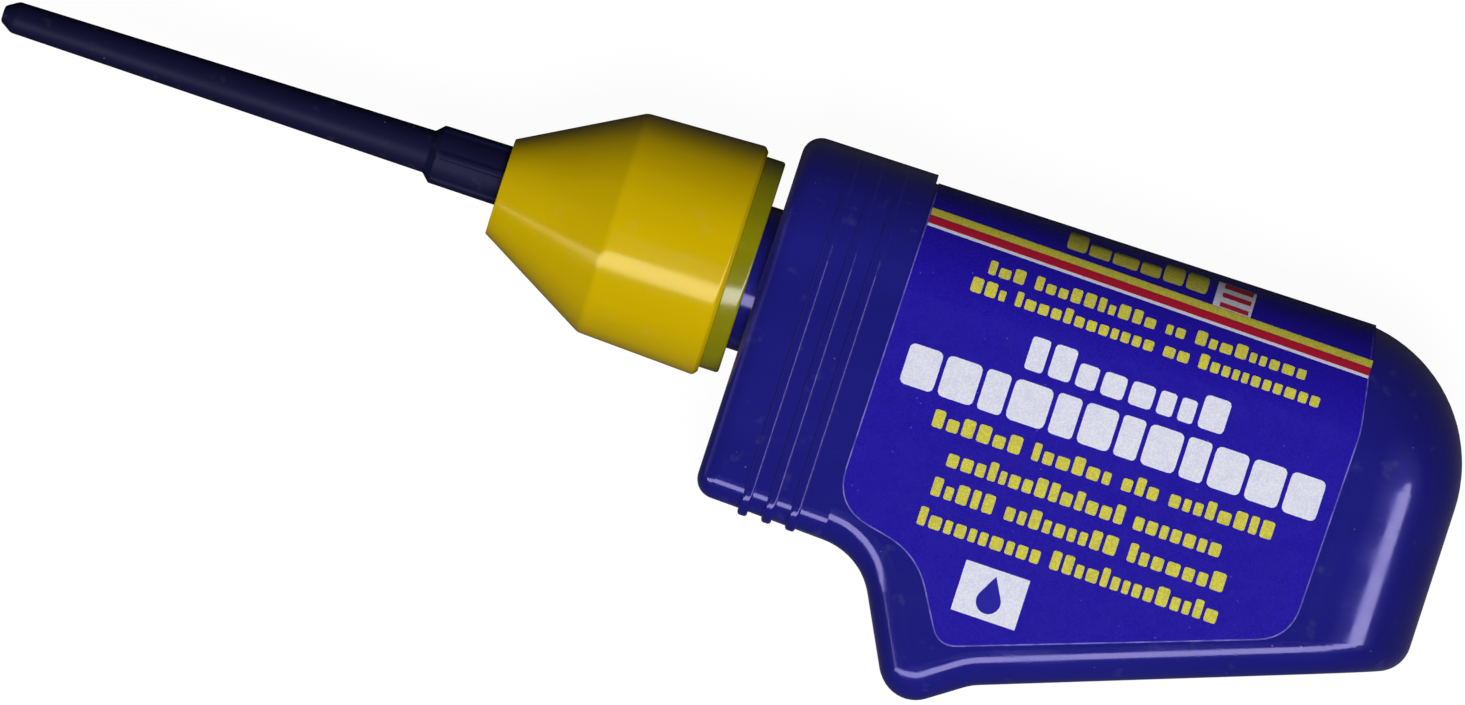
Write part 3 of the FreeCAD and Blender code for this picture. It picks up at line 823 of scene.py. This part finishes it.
def picture_axes():
    """The picture's right, up and backward directions, for a camera that looks straight down."""
    right = Vector((math.cos(LIE_ANGLE), math.sin(LIE_ANGLE), 0))
    up = Vector((-math.sin(LIE_ANGLE), math.cos(LIE_ANGLE), 0))
    return right, up, Vector((0, 0, 1))


def aim(thing, right, up, back, place):
    """Turn an object so that its own X, Y and Z are right, up and back."""
    turn = Matrix((right, up, back)).transposed().to_4x4()
    thing.matrix_world = Matrix.Translation(place) @ turn


def add_camera():
    """Camera at the photograph's viewing angle: straight down on the front."""
    camera = bpy.data.objects.new("camera", bpy.data.cameras.new("camera"))
    bpy.context.scene.collection.objects.link(camera)
    camera.data.sensor_width = SENSOR
    camera.data.lens = SENSOR * VIEW_DISTANCE / VIEW_WIDTH
    camera.data.clip_start = 0.05
    camera.data.clip_end = 20
    right, up, back = picture_axes()
    aim(camera, right, up, back, VIEW_CENTRE + back * VIEW_DISTANCE)
    bpy.context.scene.camera = camera


def add_area(name, size, radiance, place, target, long_axis):
    """Rectangular light of even brightness: size along long_axis and across it."""
    data = bpy.data.lights.new(name, "AREA")
    data.shape = "RECTANGLE"
    data.size, data.size_y = size
    data.energy = radiance * math.pi * size[0] * size[1]
    light = bpy.data.objects.new(name, data)
    bpy.context.scene.collection.objects.link(light)
    back = (place - target).normalized()
    up = back.cross(long_axis).normalized()
    aim(light, up.cross(back), up, back, place)
    light.visible_camera = False
    return light


def lean(degrees):
    """Direction that leans from straight up towards the picture's lower edge."""
    right, up, back = picture_axes()
    return back * math.cos(math.radians(degrees)) - up * math.sin(math.radians(degrees))


def add_lights():
    """A long lamp and two dim, soft-edged cards for the gloss, a soft light, a dim room."""
    right, up, back = picture_axes()
    place = VIEW_CENTRE + lean(LAMP_LEAN) * LAMP_AWAY
    gloss = add_area("lamp", LAMP_SIZE, LAMP_RADIANCE, place, VIEW_CENTRE, right)
    gloss.visible_diffuse = False
    place = VIEW_CENTRE + lean(SOFT_LEAN) * SOFT_AWAY
    soft = add_area("soft", SOFT_SIZE, SOFT_RADIANCE, place, VIEW_CENTRE, right)
    soft.visible_glossy = False
    for name, (degrees, radiance) in CARDS.items():
        angle = math.radians(degrees)
        place = VIEW_CENTRE + Vector((math.sin(angle), 0, math.cos(angle))) * CARD_AWAY
        card = add_area(name, CARD_SIZE, radiance, place, VIEW_CENTRE, right)
        card.data.spread = CARD_SPREAD
        card.data.color = CARD_TINT
        card.visible_diffuse = False
    world = bpy.data.worlds.new("studio")
    bpy.context.scene.world = world
    world.use_nodes = True
    tree = world.node_tree
    tree.nodes["Background"].inputs["Color"].default_value = (1, 1, 1, 1)
    path = tree.nodes.new("ShaderNodeLightPath")
    level = tree.nodes.new("ShaderNodeMapRange")
    level.inputs["To Min"].default_value = ROOM_FOR_DIFFUSE
    level.inputs["To Max"].default_value = ROOM_FOR_GLOSS
    tree.links.new(path.outputs["Is Glossy Ray"], level.inputs["Value"])
    tree.links.new(level.outputs["Result"], tree.nodes["Background"].inputs["Strength"])


def add_floor():
    """Plain pale floor that looks white, yet throws little light up at the object."""
    sides = ((-1, -1), (1, -1), (1, 1), (-1, 1))
    corners = [(x * FLOOR_HALF, y * FLOOR_HALF, 0) for x, y in sides]
    mesh = bpy.data.meshes.new("floor")
    mesh.from_pydata(corners, [], [(0, 1, 2, 3)])
    floor = bpy.data.objects.new("floor", mesh)
    bpy.context.scene.collection.objects.link(floor)
    material = bpy.data.materials.new("floor")
    material.use_nodes = True
    tree = material.node_tree
    shader = tree.nodes["Principled BSDF"]
    shader.inputs["Base Color"].default_value = (FLOOR_GREY, FLOOR_GREY, FLOOR_GREY, 1)
    shader.inputs["Roughness"].default_value = 1.0
    shader.inputs["Specular IOR Level"].default_value = 0.0
    shader.inputs["Emission Color"].default_value = (1, 1, 1, 1)
    path = tree.nodes.new("ShaderNodeLightPath")
    bright = tree.nodes.new("ShaderNodeMath")
    bright.operation = "MULTIPLY"
    bright.inputs[1].default_value = FLOOR_GLOW
    tree.links.new(path.outputs["Is Camera Ray"], bright.inputs[0])
    tree.links.new(bright.outputs[0], shader.inputs["Emission Strength"])
    mesh.materials.append(material)


add_camera()
add_lights()
add_floor()
bpy.context.scene.view_settings.view_transform = "Standard"
